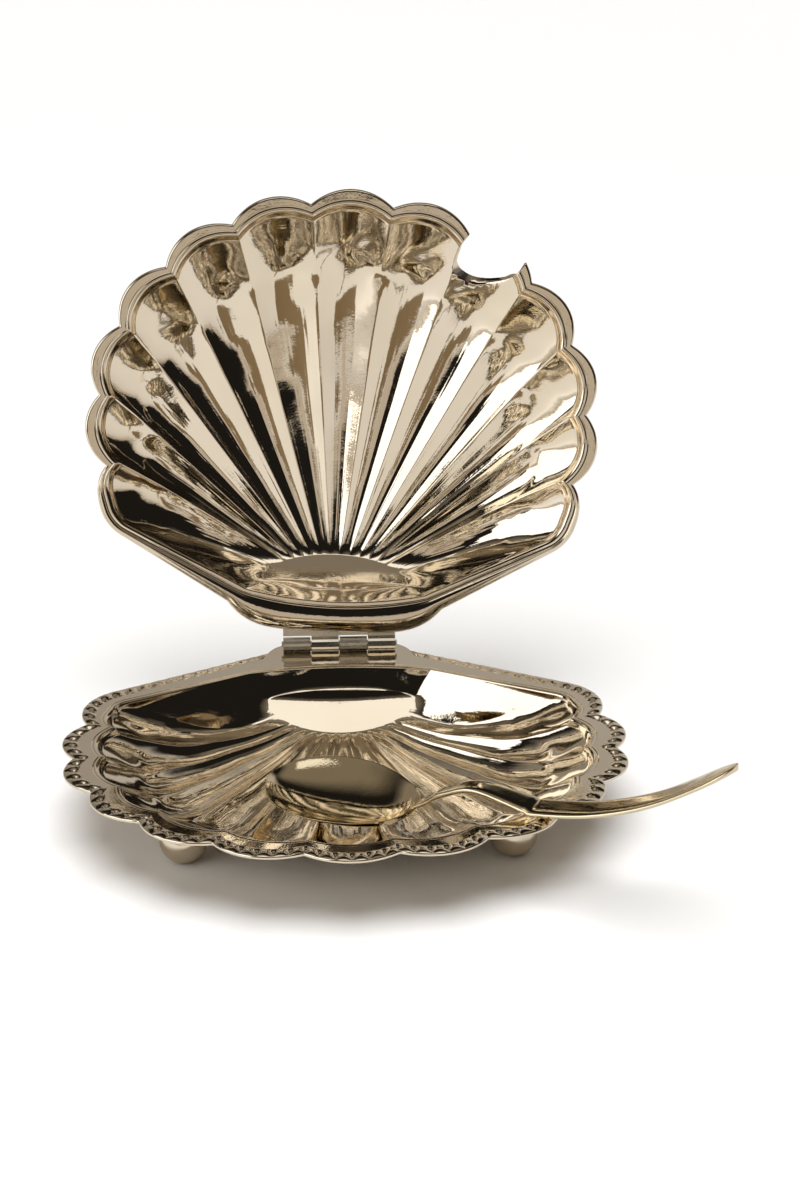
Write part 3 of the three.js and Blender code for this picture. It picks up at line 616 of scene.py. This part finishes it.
def foot(name, x, ahead):
    flat = math.asin(FOOT_FLAT_RADIUS / FOOT_RADIUS)
    centre_z = RIM_Z - FOOT_DROP + FOOT_RADIUS * math.cos(flat)
    verts = []
    for k in range(FOOT_UP + 1):
        a = mix(flat, math.pi * FOOT_TOP_SHARE, k / FOOT_UP)
        r, z = FOOT_RADIUS * math.sin(a), -FOOT_RADIUS * math.cos(a)
        if k == 0:
            r -= FOOT_BEVEL
        for i in range(FOOT_AROUND):
            t = i / FOOT_AROUND * 2 * math.pi
            verts.append([x + r * math.cos(t), -ahead + r * math.sin(t), centre_z + z])
    for v in verts:
        spot = HINGE + Vector(v) * MM
        hit = tree.ray_cast(Vector((spot.x, spot.y, 0)), Vector((0, 0, 1)))[0]
        if hit is not None and spot.z > hit.z + UNDERSIDE_LAP:
            v[2] = (hit.z + UNDERSIDE_LAP - HINGE.z) / MM
    return place(mesh_object(name, verts, tube_faces(FOOT_UP + 1, FOOT_AROUND)), to_frame)


feet = [
    foot("foot_ball_front_left", -FRONT_FOOT_SIDE, FRONT_FOOT_AHEAD),
    foot("foot_ball_front_right", FRONT_FOOT_SIDE, FRONT_FOOT_AHEAD),
    foot("foot_ball_rear", 0, REAR_FOOT_AHEAD),
]


# Spoon, made along X and then turned towards the notch
def handle_crossing():
    angle = notch_angle()
    x, ahead = oval_point(angle, LID_INSET + LID_RIM_WIDTH / 2, 0)
    x, ahead = x + SPOON_ASIDE * math.cos(angle), ahead - SPOON_ASIDE * math.sin(angle)
    c, s = math.cos(-LID_SKEW), math.sin(-LID_SKEW)
    return np.array([x * c - ahead * s + LID_SHIFT, x * s + ahead * c])


spoon_way = np.array([math.cos(SPOON_ANGLE), math.sin(SPOON_ANGLE)])
bowl_middle = handle_crossing() - spoon_way * BOWL_TO_NOTCH
bowl_end = BOWL_LENGTH / 2
spoon_end = bowl_end + HANDLE_LENGTH


# Half the spoon's width, and how far its middle is hollowed, at a distance along it
def spoon_section(x):
    share = x / bowl_end
    full = max(0.0, 1 - share * share)
    in_bowl = BOWL_HALF_WIDTH * math.sqrt(full) * (1 - BOWL_EGG * share)
    hollow = BOWL_DEPTH * full ** BOWL_ROUNDING
    if share < 0:
        return max(in_bowl, BOWL_END_HALF_WIDTH), hollow
    spread = smooth((x - bowl_end) / (HANDLE_LENGTH * HANDLE_SPREAD_SHARE))
    from_end = min(1, (spoon_end - x) / HANDLE_TIP_LENGTH)
    tip = math.sqrt(max(HANDLE_TIP_SHARPNESS, 1 - (1 - from_end) ** 2))
    return max(in_bowl, mix(NECK_HALF_WIDTH, HANDLE_HALF_WIDTH, spread) * tip), hollow


# A cross-section's points, sideways and upwards, turned by the spoon's roll
def rolled(side, up):
    c, s = math.cos(SPOON_ROLL), math.sin(SPOON_ROLL)
    return side * c - up * s, side * s + up * c


ROLL_STEPS = 4


# The lowest height of the bowl's rim at which its underside clears the dish's hollow. A few steps find
# where across the rolled bowl each point of the hollow lies.
def resting_rim_z():
    best = -math.inf
    for ring in hollow_rings(dish_inner):
        away = ring[:, :2] * [1, -1] - bowl_middle
        along = away @ spoon_way
        aside = away[:, 0] * spoon_way[1] - away[:, 1] * spoon_way[0]
        for a, v, z in zip(along, aside, ring[:, 2]):
            if abs(a) < bowl_end:
                half, hollow = spoon_section(a)
                across = v / half
                for _ in range(ROLL_STEPS):
                    across += (v - rolled(half * across, -hollow * (1 - across * across))[0]) / half
                if abs(across) < 1:
                    best = max(best, z - rolled(half * across, -hollow * (1 - across * across))[1])
    return RIM_Z + best + BOWL_GAP + SPOON_THICKNESS


bowl_rim_z = resting_rim_z()
handle_rest_z = RIM_Z + BEAD_HEIGHT + TOUCH_GAP + HANDLE_THICKNESS / 2 + HANDLE_ROLL_RISE
hump_z = handle_rest_z + HANDLE_HUMP
bowl_to_crest = BOWL_TO_NOTCH + LID_INSET + (LID_RIM_WIDTH - BORDER_WIDTH) / 2


def inside(share, z):
    return mix(bowl_end, BOWL_TO_NOTCH, share), z


def outside(share, lift):
    return mix(bowl_to_crest, spoon_end, share), handle_rest_z + lift * HANDLE_LIFT


SPOON_KNOTS = np.array([
    (-bowl_end, bowl_rim_z),
    (0, bowl_rim_z),
    (bowl_end * 0.9, bowl_rim_z),
    inside(0.25, mix(bowl_rim_z, hump_z, 0.6)),
    inside(0.55, hump_z),
    inside(1, mix(handle_rest_z, hump_z, 0.2)),
    outside(0, 0),
    outside(0.3, 0.14),
    outside(0.62, 0.44),
    outside(1, 1),
])


CURVE_STEPS = 60


# A uniform Catmull-Rom spline through the knots
def spoon_curve():
    p = SPOON_KNOTS
    out = []
    for k in range(len(p) - 1):
        a, b, c, d = p[max(k - 1, 0)], p[k], p[k + 1], p[min(k + 2, len(p) - 1)]
        for i in range(CURVE_STEPS):
            t = i / CURVE_STEPS
            v0, v1 = (c - a) * 0.5, (d - b) * 0.5
            cubic, square = 2 * b - 2 * c + v0 + v1, -3 * b + 3 * c - 2 * v0 - v1
            out.append(cubic * t ** 3 + square * t ** 2 + v0 * t + b)
    out.append(p[-1])
    return np.array(out)


spoon_line = spoon_curve()


BOWL_STEPS = 60
BOWL_SWEEP = math.pi * 0.99
HANDLE_STEPS = 90
TIP_STARTS_AT = 84
TIP_STEPS = 12
TIP_SHARE = 0.7
SPOON_ACROSS = 33
SIDE_SQUARENESS = 5


def spoon_object():
    stations = [-bowl_end * math.cos(i / BOWL_STEPS * BOWL_SWEEP) for i in range(1, BOWL_STEPS)]
    stations += [mix(stations[-1], spoon_end, i / HANDLE_STEPS) for i in range(1, TIP_STARTS_AT)]
    tip_turns = [k / TIP_STEPS * math.pi / 2 for k in range(1, TIP_STEPS + 1)]
    stations += [spoon_end - HANDLE_TIP_LENGTH * TIP_SHARE * (1 - math.sin(turn)) for turn in tip_turns]
    stations = sorted(set(stations))
    spread = np.sin(np.linspace(-math.pi / 2, math.pi / 2, SPOON_ACROSS))
    verts = []
    for x in stations:
        half, hollow = spoon_section(x)
        in_handle = float(smooth((x / bowl_end - HANDLE_START_SHARE) / HANDLE_BLEND_SHARE))
        thickness = mix(SPOON_THICKNESS, HANDLE_THICKNESS, in_handle)
        z = np.interp(x, spoon_line[:, 0], spoon_line[:, 1]) - (1 - in_handle) * thickness / 2
        body = thickness / 2 * np.sqrt(1 - np.abs(spread) ** SIDE_SQUARENESS)
        middle = z - hollow * (1 - spread ** 2)
        loop = [(half * v, m + b) for v, m, b in zip(spread, middle - z, body)]
        loop += [(half * v, m - b) for v, m, b in zip(spread[1:-1], middle[1:-1] - z, body[1:-1])][::-1]
        turned = [rolled(side, up) for side, up in loop]
        verts += [(x, side, z + up) for side, up in turned]
    obj = mesh_object("spoon_body", verts, tube_faces(len(stations), 2 * len(spread) - 2))
    shift = Matrix.Translation((bowl_middle[0] * MM, -bowl_middle[1] * MM, 0))
    return place(obj, to_frame @ (shift @ Matrix.Rotation(-SPOON_ANGLE, 4, "Z")))


spoon = spoon_object()


# Materials: plated metal with a hand-polished surface. Scales are in features for each metre.
TONE_SCALE = 26
TONE_SPAN = (0.35, 0.65)
SMUDGE_SCALE = 60
SMUDGE_SPAN = (0.35, 0.75)
ROUGHNESS_SHARES = (0.7, 1.6)
WAVE_SCALE = 130
WAVE_DEPTH = 0.001
SCRATCH_SCALE = 1800
SCRATCH_DEPTH = 0.0001
SCRATCH_STRENGTH = 0.12


def plated(name, color, deep, roughness, wave, seed):
    mat = bpy.data.materials.new(name)
    mat.use_nodes = True
    nodes, links = mat.node_tree.nodes, mat.node_tree.links
    shader = nodes["Principled BSDF"]
    shader.inputs["Metallic"].default_value = 1.0
    coords = nodes.new("ShaderNodeTexCoord")

    def noise(scale, detail, shift):
        mapping = nodes.new("ShaderNodeMapping")
        mapping.inputs["Location"].default_value = (seed + shift, seed * 0.7 - shift, shift * 1.3)
        links.new(coords.outputs["Object"], mapping.inputs["Vector"])
        n = nodes.new("ShaderNodeTexNoise")
        n.inputs["Scale"].default_value = scale
        n.inputs["Detail"].default_value = detail
        links.new(mapping.outputs["Vector"], n.inputs["Vector"])
        return n.outputs["Fac"]

    def bump(height, depth, strength):
        b = nodes.new("ShaderNodeBump")
        b.inputs["Distance"].default_value = depth
        b.inputs["Strength"].default_value = strength
        links.new(height, b.inputs["Height"])
        return b

    tone = nodes.new("ShaderNodeValToRGB")
    for stop, position, value in zip(tone.color_ramp.elements, TONE_SPAN, (deep, color)):
        stop.position, stop.color = position, (*value, 1)
    links.new(noise(TONE_SCALE, 3, 1.0), tone.inputs["Fac"])
    links.new(tone.outputs["Color"], shader.inputs["Base Color"])
    smudge = nodes.new("ShaderNodeMapRange")
    smudge.inputs["From Min"].default_value, smudge.inputs["From Max"].default_value = SMUDGE_SPAN
    for end, share in zip(("To Min", "To Max"), ROUGHNESS_SHARES):
        smudge.inputs[end].default_value = roughness * share
    links.new(noise(SMUDGE_SCALE, 5, 4.0), smudge.inputs["Value"])
    links.new(smudge.outputs["Result"], shader.inputs["Roughness"])
    broad = bump(noise(WAVE_SCALE, 2, 7.0), WAVE_DEPTH, wave)
    fine = bump(noise(SCRATCH_SCALE, 3, 9.0), SCRATCH_DEPTH, SCRATCH_STRENGTH)
    links.new(broad.outputs["Normal"], fine.inputs["Normal"])
    links.new(fine.outputs["Normal"], shader.inputs["Normal"])
    return mat


gold = plated("gold_plate", (0.88, 0.79, 0.65), (0.84, 0.74, 0.58), 0.045, 0.09, 3.0)
hinge_metal = plated("hinge_metal", (0.8, 0.75, 0.66), (0.7, 0.65, 0.56), 0.24, 0.1, 11.0)
spoon_metal = plated("spoon_metal", (0.84, 0.74, 0.54), (0.78, 0.66, 0.45), 0.06, 0.08, 23.0)


def dress(obj, material, body, node):
    obj.data.materials.clear()
    obj.data.materials.append(material)
    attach(obj, body)
    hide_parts(node)


dress(dish, gold, "dish", "dish")
dress(lid, gold, "lid", "lid")
for piece, node in zip(feet, ("foot_front_left", "foot_front_right", "foot_rear")):
    dress(piece, gold, "dish", node)
dress(spoon, spoon_metal, "dish", "spoon")
for node in ("hinge_leaf_dish", "hinge_leaf_lid", "hinge_pin"):
    frame["nodes"][node].data.materials.clear()
    frame["nodes"][node].data.materials.append(hinge_metal)


# Floor and studio
def flat_material(name, color, roughness):
    mat = bpy.data.materials.new(name)
    mat.use_nodes = True
    shader = mat.node_tree.nodes["Principled BSDF"]
    shader.inputs["Base Color"].default_value = (*color, 1)
    shader.inputs["Roughness"].default_value = roughness
    return mat


def plane(name, corners, material):
    mesh = bpy.data.meshes.new(name)
    mesh.from_pydata(corners, [], [(0, 1, 2, 3)])
    obj = bpy.data.objects.new(name, mesh)
    mesh.materials.append(material)
    bpy.context.scene.collection.objects.link(obj)
    return obj


FLOOR_HALF = 6.0
TABLE_RAISE = 0.0003
CLOTH_RAISE = 0.001
CLOTH_NEAR = (0.2, -0.26)
CLOTH_FAR = (0.95, -1.3)
CARD_LEFT, CARD_RIGHT, CARD_Y, CARD_TOP = -0.22, 0.28, -1.7, 0.42


def square(name, half, z, material):
    return plane(name, [(-half, -half, z), (half, -half, z), (half, half, z), (-half, half, z)], material)


# A pale floor, and what the metal mirrors of it: a warmer tone than the camera sees
square("floor", FLOOR_HALF, 0, flat_material("floor_white", (0.9, 0.9, 0.9), 0.6))
table = square("table_tone", FLOOR_HALF, TABLE_RAISE, flat_material("table_beige", (0.66, 0.64, 0.62), 0.8))


# A brown cloth in front, spread like a fan, which the middles of the flutes mirror
def fan_cloth():
    near, far = CLOTH_NEAR, CLOTH_FAR
    corners = [(-far[0], far[1]), (far[0], far[1]), (near[0], near[1]), (-near[0], near[1])]
    material = flat_material("brown_cloth", (0.17, 0.12, 0.065), 0.8)
    return plane("brown_front", [(*corner, CLOTH_RAISE) for corner in corners], material)


def glow_material(name, color):
    mat = flat_material(name, (0, 0, 0), 1.0)
    shader = mat.node_tree.nodes["Principled BSDF"]
    shader.inputs["Emission Color"].default_value = (*color, 1)
    shader.inputs["Emission Strength"].default_value = 1.0
    return mat


# A beige card behind the camera, which the flat rims mirror
def card():
    corners = [(CARD_LEFT, 0), (CARD_RIGHT, 0), (CARD_RIGHT, CARD_TOP), (CARD_LEFT, CARD_TOP)]
    material = glow_material("beige_glow", (0.52, 0.46, 0.39))
    return plane("beige_card", [(x, CARD_Y, z) for x, z in corners], material)


for mirrored in (table, fan_cloth(), card()):
    mirrored.visible_camera = False
    mirrored.visible_diffuse = False
    mirrored.visible_shadow = False


def light(name, size, size_y, power, where, target):
    data = bpy.data.lights.new(name, "AREA")
    data.shape, data.size, data.size_y = "RECTANGLE", size, size_y
    data.energy = power
    obj = bpy.data.objects.new(name, data)
    obj.location = where
    obj.rotation_euler = (Vector(target) - Vector(where)).to_track_quat("-Z", "Y").to_euler()
    bpy.context.scene.collection.objects.link(obj)


# Soft boxes that the metal mirrors: one high in front and one on the left
light("box_top", 0.75, 0.5, 1.05, (-0.02, -0.42, 1.05), (0, 0, 0.05))
light("box_left", 1.2, 0.8, 4.8, (-1.0, -0.55, 0.5), (0, 0, 0.08))
fill = bpy.data.lights.new("fill", "SUN")
fill.energy, fill.angle = 3.0, math.radians(60)
fill_light = bpy.data.objects.new("fill", fill)
fill_light.visible_glossy = False
bpy.context.scene.collection.objects.link(fill_light)


# The studio round the table: in front a pale band at its foot, then dark, and dim overhead; behind the
# dish a backdrop that goes from dim on the left to pale on the right
DARK = (0.012, 0.011, 0.01)
PALE = (0.52, 0.46, 0.39)
DIM = (0.25, 0.22, 0.19)
GREY = (0.5, 0.475, 0.44)
OVERHEAD = (0.22, 0.19, 0.15)
FRONT_STOPS = [(0.0, PALE), (0.035, PALE), (0.07, DARK), (0.62, DARK), (0.85, OVERHEAD)]
LEFT_STOPS = [(0.0, DIM), (0.55, DIM), (0.7, DARK)]
RIGHT_STOPS = [(0.0, PALE), (0.12, GREY), (0.55, GREY), (0.7, DARK)]
LEFT_TO_RIGHT = (-0.5, 0.5)
FRONT_TO_BACK = (0.1, 0.45)

# A mix node's sockets for colours, by number
MIX_FIRST, MIX_SECOND, MIX_RESULT = 6, 7, 2


def studio():
    world = bpy.data.worlds.new("studio")
    world.use_nodes = True
    nodes, links = world.node_tree.nodes, world.node_tree.links
    coords = nodes.new("ShaderNodeTexCoord")
    parts = nodes.new("ShaderNodeSeparateXYZ")
    links.new(coords.outputs["Generated"], parts.inputs["Vector"])

    def ramp(stops):
        r = nodes.new("ShaderNodeValToRGB")
        while len(r.color_ramp.elements) < len(stops):
            r.color_ramp.elements.new(0.5)
        for e, (position, value) in zip(r.color_ramp.elements, stops):
            e.position, e.color = position, (*value, 1)
        links.new(parts.outputs["Z"], r.inputs["Fac"])
        return r.outputs["Color"]

    # From one colour to the other as a direction's X or Y goes through a range
    def blended(axis, span, first, second):
        share = nodes.new("ShaderNodeMapRange")
        share.interpolation_type = "SMOOTHSTEP"
        share.inputs["From Min"].default_value, share.inputs["From Max"].default_value = span
        links.new(parts.outputs[axis], share.inputs["Value"])
        both = nodes.new("ShaderNodeMix")
        both.data_type = "RGBA"
        links.new(share.outputs["Result"], both.inputs["Factor"])
        links.new(first, both.inputs[MIX_FIRST])
        links.new(second, both.inputs[MIX_SECOND])
        return both.outputs[MIX_RESULT]

    back = blended("X", LEFT_TO_RIGHT, ramp(LEFT_STOPS), ramp(RIGHT_STOPS))
    room = blended("Y", FRONT_TO_BACK, ramp(FRONT_STOPS), back)
    links.new(room, nodes["Background"].inputs["Color"])
    return world


bpy.context.scene.world = studio()
bpy.context.scene.view_settings.view_transform = "Standard"

# Camera, at the photograph's viewing angle; its place is in millimetres from the hinge
CAMERA_PLACE = Vector((-18.3986, -900.797, 386.879))
CAMERA_WAY = Vector((0.03635, 0.92289, -0.38335))
CAMERA_ROLL = math.radians(-0.22)


def add_camera():
    data = bpy.data.cameras.new("camera")
    data.lens = 105
    data.sensor_width = 36
    data.clip_start, data.clip_end = 0.05, 50
    camera = bpy.data.objects.new("camera", data)
    ahead = CAMERA_WAY.normalized()
    right = ahead.cross(Vector((0, 0, 1))).normalized()
    up = right.cross(ahead)
    c, s = math.cos(CAMERA_ROLL), math.sin(CAMERA_ROLL)
    right, up = right * c + up * s, up * c - right * s
    turn = Matrix((right, up, -ahead)).transposed().to_4x4()
    camera.matrix_world = Matrix.Translation(HINGE + CAMERA_PLACE * MM) @ turn
    bpy.context.scene.collection.objects.link(camera)
    bpy.context.scene.camera = camera


add_camera()
